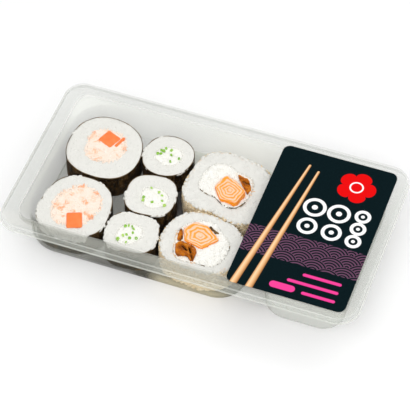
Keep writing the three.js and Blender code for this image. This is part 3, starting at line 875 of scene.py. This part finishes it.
def thickness_and_painted_light_class(spot, normal):
    """0 walls, 1 flange, 2 its turned-down rim, 3 lips, 4 floor, 5 small compartment, 6 back rim. Lips are
    lighter partly as painted highlight; the floor carries painted shade; the small compartment and back rim
    carry painted light.
    """
    x, y, z = spot
    hx, hy = TRAY_HALF
    past_rim = past_edge(x, y, -hx, hx, hy, FLANGE_CORNER + (FRONT_ROUNDER if y < 0 else 0))
    if past_rim > -1.7 and (z < TRAY_HEIGHT - 0.1 or abs(normal.z) < 0.97):
        if y > hy - 8:
            return 6
        foot = z < TRAY_HEIGHT - RIM_DROP + 0.9 and past_rim > -0.6
        return 3 if foot or 0.68 < normal.z < 0.9 else 2
    for room in (MAIN, SMALL):
        past_lip = past_edge(x, y, room["x0"], room["x1"], hy - FLANGE_SIDE, MOUTH_CORNER)
        if abs(past_lip) < LIP_ROUND + 0.1 and z > TRAY_HEIGHT - LIP_ROUND and normal.z < 0.99:
            return 3
        if past_lip < WALL + 0.1 and z < TRAY_HEIGHT - 1:
            if room is SMALL:
                return 5
            return 4 if z < WALL + 0.3 and abs(normal.z) > 0.9 else 0
    return 1


def build_tray():
    outer, hollow = flange_loops()
    tray = new_object("tray_shell", *loft(outer))
    combine(tray, hollow, "DIFFERENCE")
    for room in (MAIN, SMALL):
        combine(tray, compartment_loops(room, WALL, TRAY_HEIGHT - 0.4), "UNION")
    for room in (MAIN, SMALL):
        combine(tray, compartment_loops(room, 0, TRAY_HEIGHT + 2, LIP_ROUND), "DIFFERENCE")
    mesh = tray.data
    mesh.materials.clear()
    near, dark_rolls, pale_rolls = (-0.042, -0.047), (-0.054, -0.046), (-0.018, -0.01)
    # Painted shade and light on the walls: lighter at the back, darker at the front under the flange and
    # darker still where dark rolls stand behind, lighter where pale rolls stand behind and at the front-left
    # corner.
    wall_painted_shade_and_light = [
        (None, (0.02, 0.036), (250, 255, 236)), (None, near, (146, 148, 134)),
        (dark_rolls, near, (100, 100, 84)), (pale_rolls, near, (214, 208, 180)),
        ((-0.074, -0.084), near, (204, 206, 196)),
    ]
    # Painted shade and light on the floor: dark brown and less clear from x = -22 mm rightwards, under and
    # between the rolls; lighter and clearer along the back, lighter at the left; darker at the front and
    # where dark rolls stand, lighter where pale rolls stand.
    floor_painted_shade_and_light = [
        ((-0.028, -0.022), None, (52, 38, 20), 0.4), (None, (0.026, 0.034), (238, 241, 231), 1.6),
        ((-0.076, -0.084), None, (210, 212, 204)), (None, near, (120, 120, 108)),
        (dark_rolls, near, (70, 68, 56)), (pale_rolls, near, (222, 214, 186)),
    ]
    # Painted light: the front flange is lighter in front of y = -49 mm, turning back towards its plain
    # colour in front of -55.5 mm.
    flange_painted_light = [
        (None, (-0.046, -0.049), (214, 215, 204)), (None, (-0.0535, -0.0555), (196, 200, 190)),
    ]
    for name, dark, light, clear, *painted_light_tints in (
        ("tray_wall", (160, 165, 136), (172, 177, 148), 0.87, *wall_painted_shade_and_light),
        ("tray_flange", (190, 194, 184), (202, 206, 196), 0.79, *flange_painted_light),
        ("tray_rim", (198, 202, 193), (210, 214, 205), 0.79),
        # Lips and rim foot: lighter and less clear, partly the thicker look of the plastic at its bends,
        # partly painted highlight.
        ("tray_lip", (226, 228, 220), (236, 238, 230), 0.66),
        # Painted shade: the floor of the main compartment is darker and less clear.
        ("tray_floor", (140, 142, 126), (150, 152, 136), 0.52, *floor_painted_shade_and_light),
        # Painted light: the small compartment's walls are lighter and milkier than the main walls.
        ("tray_small_room", (232, 235, 227), (240, 243, 235), 0.7),
        # Painted light: the back rim is lighter and clearer than the rest of the rim.
        ("tray_back_rim", (218, 222, 213), (228, 232, 224), 0.92),
    ):
        mesh.materials.append(plastic_material(name, dark, light, clear, painted_light_tints))
    for polygon in mesh.polygons:
        polygon.material_index = thickness_and_painted_light_class(polygon.center / MM, polygon.normal)
        polygon.use_smooth = abs(polygon.normal.z) < 0.999
    mesh.set_sharp_from_angle(angle=radians(38))
    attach(tray, "root")
    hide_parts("tray")


# ---- rolls ----


def within(angle, stretches):
    """1 within stretches of directions in degrees, easing to 0 outside them."""
    share = np.zeros_like(angle)
    for start, end in stretches:
        middle, half = (start + end) / 2, (end - start) / 2
        off = np.abs((np.degrees(angle) - middle + 180) % 360 - 180)
        share = np.maximum(share, np.clip((half + 6 - off) / 12, 0, 1))
    return share


def build_seaweed(name, outline, seed, bevel=BEVEL, steps=150, shown=None, ragged=0.16, bare=None,
                  thickness=NORI):
    """A thin band whose face is slightly crinkled and whose cut edge is uneven."""
    angle = ring_angles(steps)
    edge = CUT - 0.12 + ragged * field(outline.loop(steps, 0), 4.0, seed)
    if shown:
        edge += 0.35 - BURIED_DEPTH * (1 - within(angle, shown))
    if bare:
        edge -= BARE_DEPTH * within(angle, [bare])
    loops = []
    for t in np.linspace(0, 1, 9):
        z = (FOOT + bevel) * (1 - t) + edge * t
        crinkle = 0.1 * field(outline.loop(steps, z), 3.0, seed + 1)
        loops.append(outline.loop(steps, z, crinkle - 0.08))
    inner = [(edge - 0.05, -thickness), (FOOT + bevel, -thickness)]
    if bevel:
        inner += [(FOOT, -thickness - bevel), (FOOT, -bevel)]
    loops += [outline.loop(steps, *level) for level in inner]
    sheet = loft(loops, wrapped=True)
    add_piece(name + "_seaweed_sheet", *sheet, roasted_seaweed, [name + "_seaweed"], "seaweed", 50)


def rice_core(outer, inner, steps, grow, side_relief, seed):
    """A ring of packed rice under the loose grains, from the outer edge to the filling."""
    loops = [outer.loop(steps, FOOT, grow - BEVEL)]
    for level in range(6):
        z = FOOT + BEVEL + (CUT - 0.7 - FOOT - BEVEL) * level / 5
        bumps = side_relief * (field(outer.loop(steps, z, grow), 2.2, seed) - 0.5) if side_relief else 0
        loops.append(outer.loop(steps, z, grow + bumps))
    edge = outer.loop(steps, CUT - 0.1, grow - 0.15)
    hole = inner.loop(steps, CUT - 0.1)
    for t in np.arange(10) / 9:
        loop = edge * (1 - t) + hole * t
        loop[:, 2] += 0.12 * field(loop, 1.5, seed + 2)
        loops.append(loop)
    loops.append(inner.loop(steps, FOOT))
    return loft(loops, wrapped=True)


def soak(x, y, sources):
    """Brown stain round the gourd strips, from 0 to 1."""
    nearest = min((-float(shape.depth(x, y)) for shape in sources), default=SOAK_REACH)
    return max(0.0, 1 - max(nearest, 0.0) / SOAK_REACH)


def add_top_grains(batch, random, outer, fillings, margin, gap=0.6, sources=()):
    """Grains bedded in the cut face, so that only their upper sides show."""
    draw = random.uniform
    for x, y in scatter(draw, outer, fillings, GRAIN_SPACING, 9000, margin, gap):
        half = draw(2.8, 5.0) / 2
        tilt = random.normal(0, 0.22)
        turn = draw(0, pi)
        depth = float(outer.depth(x, y))
        if depth < margin + half:
            turn = atan2(y - outer.y, x - outer.x) + pi / 2 + random.normal(0, 0.2)
        stained = soak(x, y, sources)
        if sources:
            stained = max(stained, 0.25 - 0.15 * (depth - margin))
        shade = 1 + stained if stained else draw(0, 0.6)
        width = draw(1.0, 1.22)
        thick = width * 0.88
        z = CUT + draw(-0.06, 0.12) - hypot(half * sin(tilt), thick * cos(tilt))
        batch.place(GRAIN, (x, y, z), (half, width, thick), (draw(-0.4, 0.4), tilt, turn), shade)


def add_rim_grains(batch, random, outer, share, bare):
    """Grains that hang over the cut edge of the seaweed, and down its side in the bare stretch."""
    draw = random.uniform
    radius = float(outer.reach(np.array(0.0)))
    for degrees in np.arange(0, 360, 95 / radius):
        a = radians(degrees + draw(-2, 2))
        clump = 0.5 + 0.9 * noise.noise(Vector((cos(a), sin(a), radius)) * 2.3)
        drops = []
        if bare and within(a, [bare]) > 0.5:
            drops = [1.1, 2.7, 4.3]
        elif clump < share:
            drops = [0.75]
        for step, drop in enumerate(drops):
            inset = draw(0.55, 0.85) - 0.25 * min(step, 1)
            spot = outer.spot(a, inset, CUT - drop + draw(-0.2, 0.2))
            turn = (draw(-0.2, 0.2), draw(-0.5, 0.5), a + pi / 2 + random.normal(0, 0.35))
            batch.place(GRAIN, spot, (draw(1.5, 2.3), draw(0.9, 1.1), 0.9), turn, draw(0, 0.5))


def build_wrapped_rice(name, outer, fillings, seed, share, bare=None):
    random = np.random.default_rng(seed)
    batch = Batch()
    add_rim_grains(batch, random, outer, share, bare)
    batch.add(*rice_core(outer, union(fillings, 0.1), 120, -NORI - PLAY, 0, seed), 0.25)
    add_top_grains(batch, random, outer, fillings, NORI + 0.75)
    batch.piece(name + "_rice_grains", rice, [name + "_rice"], "rice")


def build_carrot(name, part, x, y, length, width, turn, seed):
    """A cut stick with softened edges and a slightly rough cut face."""
    outline = squared(x, y, length, width, turn, 14)
    steps = 64
    top = CUT + 0.55
    loops = [outline.loop(steps, FOOT, -0.2)]
    for level in range(7):
        loops.append(outline.loop(steps, FOOT + 0.3 + (top - 0.7 - FOOT) * level / 6))
    soft = min(0.4, width / 4)
    for step in range(1, 4):
        a = radians(30 * step)
        loops.append(outline.loop(steps, top - soft * (1 - sin(a)), -soft * (1 - cos(a))))
    for scale in (0.85, 0.65, 0.45, 0.25, 0.1):
        loop = outline.loop(steps, top, -soft, scale)
        loop[:, 2] += 0.07 * field(loop, 2.0, seed)
        loops.append(loop)
    node = f"{name}_{part}"
    add_piece(node + "_stick", *loft(loops), carrot, [node], "carrot", 55)


def bent_strip(draw, position, length, width, thickness, heading, lift):
    """A short fibre bundle that curves in its own plane."""
    curve = draw(-0.5, 0.5) / length
    angle = ring_angles(6)
    loops = []
    for t in np.arange(6) / 5 - 0.5:
        taper = 0.5 - 0.275 * (2 * abs(t)) ** 3
        aside = curve * (t * length) ** 2 + width * taper * np.cos(angle)
        loops.append(points(t * length, aside, thickness * taper * np.sin(angle)))
    vertices, faces = loft(loops)
    return placed(vertices, position, 1, (0, lift, heading)), faces


def build_salad(name, outline, carrots, seed):
    draw = np.random.default_rng(seed).uniform
    loops = filling_loops(outline, 110, CUT - 1.2, 24, CUT + 0.1, 0.3, 1.6, seed)
    add_piece(name + "_salad_mass", *loft(loops), crab_salad, [name + "_salad"], "crab_salad")
    shreds = Batch()
    for x, y in scatter(draw, outline, carrots, 0.85, 9000, -0.9, 0.5):
        spot = (x, y, CUT - 0.02 + draw(-0.08, 0.08))
        size = (draw(1.8, 3.8), draw(0.5, 1.1), draw(0.4, 0.6))
        strip = bent_strip(draw, spot, *size, draw(0, 3.14), draw(-0.12, 0.12))
        edge = max(0.0, 1 - float(outline.depth(x, y)) / 5)
        patch = noise.noise(Vector((x, y, seed)) / 4.2)
        shade = draw(0, 0.4) + max(0.0, 2.0 * patch - 0.1) + 0.15 * edge * draw(0, 1) ** 2
        shreds.add(*strip, min(1.0, shade))
    shreds.piece(name + "_salad_shreds", crab_shreds, [], "crab_salad")


def build_cheese(name, outline, holes, seed, grow=0.0, height=CUT + 0.15, sources=(), lumps=(0.4, 0.75),
                 margin=-0.6):
    draw = np.random.default_rng(seed).uniform
    batch = Batch()
    vertices, faces = loft(filling_loops(outline, 96, CUT - 1.0, 18, height, 0.5, 2.0, seed, grow))
    top = vertices[:, 2] > CUT - 0.9
    for hole in holes:
        vertices[top & (hole.depth(*vertices.T[:2]) > 0.4), 2] = CUT - 2.5
    batch.add(vertices, faces)
    for x, y in scatter(draw, outline, holes, 1.0, 7000, margin, lumps[1]):
        lump = pebble(draw)
        r = draw(*lumps)
        stained = 0.6 * soak(x, y, sources)
        spot = (x, y, height - 0.25 + draw(-0.15, 0.15))
        batch.place(lump, spot, (r, r * 0.9, r * 0.7), draw(0, 3, 3), 1 + stained if stained else 0.0)
    batch.piece(name + "_cheese_curds", cream_cheese, [name + "_cheese"], "cream_cheese")


def chive_ring(draw, x, y, radius):
    """A short hollow slice of chive, lying a little askew."""
    height, squash, hollow = draw(0.9, 1.4), draw(0.6, 1.0), draw(0.15, 0.5)
    angle = ring_angles(12)
    loops = []
    for r, z in ((1, -0.5), (1, 0.5), (hollow, 0.5), (hollow * 0.9, -0.5)):
        r *= radius
        loops.append(points(r * np.cos(angle), r * squash * np.sin(angle), z * height))
    vertices, faces = loft(loops, wrapped=True)
    turn = (draw(-0.5, 0.5), draw(-0.5, 0.5), draw(0, 3))
    return placed(vertices, (x, y, CUT + 0.45), 1, turn), faces


def build_chives():
    draw = np.random.default_rng(71).uniform
    batch = Batch()
    for roll in HOSOMAKI.values():
        cx, cy = roll["outline"][:2]
        for dx, dy in roll["chives"]:
            batch.add(*chive_ring(draw, cx + dx, cy + dy, draw(0.64, 1.04)), draw(0, 1))
    batch.piece("chive_slices", chives, [], "chives")


def build_coated_rice(name, outer, wrap, hidden_wrap, fillings, sources, seed):
    """Rice on the outside of the roll: grains on top, crumbs and grains on the sides."""
    random = np.random.default_rng(seed)
    draw = random.uniform
    batch = Batch()
    batch.add(*rice_core(outer, wrap, 150, -0.9, 0.5, seed), 0.25)
    add_top_grains(batch, random, outer, [hidden_wrap, *fillings], 1.3, 0.3, sources)
    loop = outer.loop(360, 0)
    count = int(np.hypot(*(np.roll(loop, -1, 0) - loop)[:, :2].T).sum() / 2.7)
    rows = 8
    for row in range(rows):
        z = FOOT + 1.9 + (CUT - FOOT - 2.9) * row / (rows - 1)
        for k in range(count):
            a = 2 * pi * (k + 0.5 * (row % 2) + draw(-0.25, 0.25)) / count
            spot = outer.spot(a, draw(1.0, 1.35), z + draw(-0.5, 0.5))
            size = (draw(1.7, 2.5), draw(1.0, 1.2), 1.0)
            turn = (draw(-0.2, 0.2), draw(-0.9, 0.9), a + pi / 2)
            batch.place(GRAIN, spot, size, turn, draw(0, 0.6))
    batch.piece(name + "_rice_grains", coated_rice, [name + "_rice"], "rice")
    crumbs = Batch()
    for _ in range(2300):
        a = draw(0, 2 * pi)
        z = FOOT + 1.0 + (CUT - FOOT - 1.2) * draw(0, 1) ** 0.6
        spot = outer.spot(a, draw(0.15, 0.7), z)
        lump = pebble(draw, 0.35)
        r = draw(0.28, 0.62)
        turn = draw(0, 3, 3)
        crumbs.place(lump, spot, (r, r * draw(0.6, 1), r * 0.6), turn, draw(0, 1))
    crumbs.piece(name + "_toasted_crumbs", toasted_crumbs, [], "rice")


def build_crab(name, x, y, corners, rise, lean_x, lean_y):
    """A pressed, rolled bar: the cut end shows its layers as low ridges."""
    steps = 144
    angle = ring_angles(steps)
    reach = cornered(x, y, corners).reach(angle)
    soft = sum(np.roll(reach, k) for k in range(-2, 3)) / 5
    outline = Outline(x, y, lambda a: np.interp(a, angle, soft, period=2 * pi))
    top = CUT + rise
    loops, layers = [], []

    def level(z, grow, scale, layer, leaned=1.0):
        loop = outline.loop(steps, z, grow, scale)
        loop[:, 2] += leaned * (lean_x * (loop[:, 0] - x) + lean_y * (loop[:, 1] - y))
        loops.append(loop)
        layers.append(np.full(steps, layer))

    for k in range(7):
        level(FOOT + (top - 0.4 - FOOT) * k / 6, 0, 1, 1.1, k / 6)
    level(top - 0.12, -0.1, 1, 1.03)
    level(top, -0.3, 1, 0.97)
    rings = 44
    for ring in range(1, rings):
        t = 1 - ring / rings
        level(top + 0.1 * cos(2 * pi * CRAB_TURNS * t) - 0.1, -0.3, t, 0.97 * t)
    layer = np.append(np.concatenate(layers), [1.1, 0.0])
    add_piece(name + "_crab_bar", *loft(loops), crab_stick, [name + "_crab"], "crab_stick", 60, layer)


def build_strip(name, part, x, y, corners, rise, slits, seed, material, slot):
    """A folded strip standing in the filling, with a crumpled cut end and slits between its folded layers,
    sunk in and painted dark as shade.
    """
    outline = cornered(x, y, corners)
    top = CUT + rise
    loops = filling_loops(outline, 144, top - 0.8, 24, top - 0.2, 0.5, 2.2, seed, edge_drop=0.4)
    vertices, faces = loft(loops)
    slit_depth_and_shade, fold = np.zeros((2, len(vertices)))
    for start, end, depth in slits:
        run = np.subtract(end, start)
        off = vertices[:, :2] - start
        along = np.clip(off @ run / (run @ run), 0, 1)
        away = np.hypot(*(off - along[:, None] * run).T)
        slit_depth_and_shade = np.maximum(slit_depth_and_shade, depth * np.exp(-((away / 0.62) ** 2)))
        fold = np.maximum(fold, depth * np.exp(-(((away - 1.5) / 0.6) ** 2)))
    on_top = vertices[:, 2] > CUT - 1
    slit_depth_and_shade *= on_top
    vertices[:, 2] += (0.4 * fold - 1.8 * slit_depth_and_shade) * on_top
    node = f"{name}_{part}"
    add_piece(node + "_piece", vertices, faces, material, [node], slot, layer=slit_depth_and_shade)


# ---- making ----

add_camera()
add_studio()

build_tray()
for node, look in (("lid_film", clear_film), ("label", label_print)):
    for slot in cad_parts[node].material_slots:
        slot.material = look

for seed, (name, roll) in enumerate(FUTOMAKI.items(), 101):
    outer = lobed(*roll["outline"])
    salad = lobed(*roll["salad"])
    carrots = [squared(*stick[1:]) for stick in roll["carrots"]]
    bare = roll.get("bare")
    build_seaweed(name, outer, seed, bare=bare)
    build_wrapped_rice(name, outer, [salad, *carrots], seed + 10, roll["over"], bare)
    build_salad(name, salad, carrots, seed + 20)
    for stick in roll["carrots"]:
        build_carrot(name, *stick, seed + 30)

for seed, (name, roll) in enumerate(HOSOMAKI.items(), 201):
    outer = lobed(*roll["outline"])
    cheese = lobed(*roll["cheese"])
    build_seaweed(name, outer, seed, steps=110)
    build_wrapped_rice(name, outer, [cheese], seed + 10, roll["over"])
    build_cheese(name, cheese, [], seed + 20)
build_chives()

for seed, (name, roll) in enumerate(CALIFORNIA.items(), 301):
    outer = lobed(*roll["outline"])
    wrap = lobed(*roll["wrap"])
    strips = {strip[0]: cornered(*strip[1:4]) for strip in roll["strips"]}
    gourds = [shape for part, shape in strips.items() if "gourd" in part]
    fillings = [cornered(*roll["crab"]), *strips.values()]
    shown = roll["shown"]
    buried = Outline(wrap.x, wrap.y, lambda a: wrap.reach(a) - BURIED_DEPTH * (1 - within(a, shown)))
    build_coated_rice(name, outer, wrap, buried, fillings, gourds, seed)
    build_seaweed(name, wrap, seed + 10, 0, 110, shown, ragged=0.4, thickness=0.5)
    build_cheese(name, wrap, fillings, seed + 20, -NORI - PLAY, CUT + 0.3, gourds, (0.5, 1.0), 0.3)
    build_crab(name, *roll["crab"], *roll["crab_top"])
    for strip in roll["strips"]:
        look = (simmered_gourd, "gourd") if "gourd" in strip[0] else (roasted_seaweed, "seaweed")
        build_strip(name, *strip, seed + 40, *look)
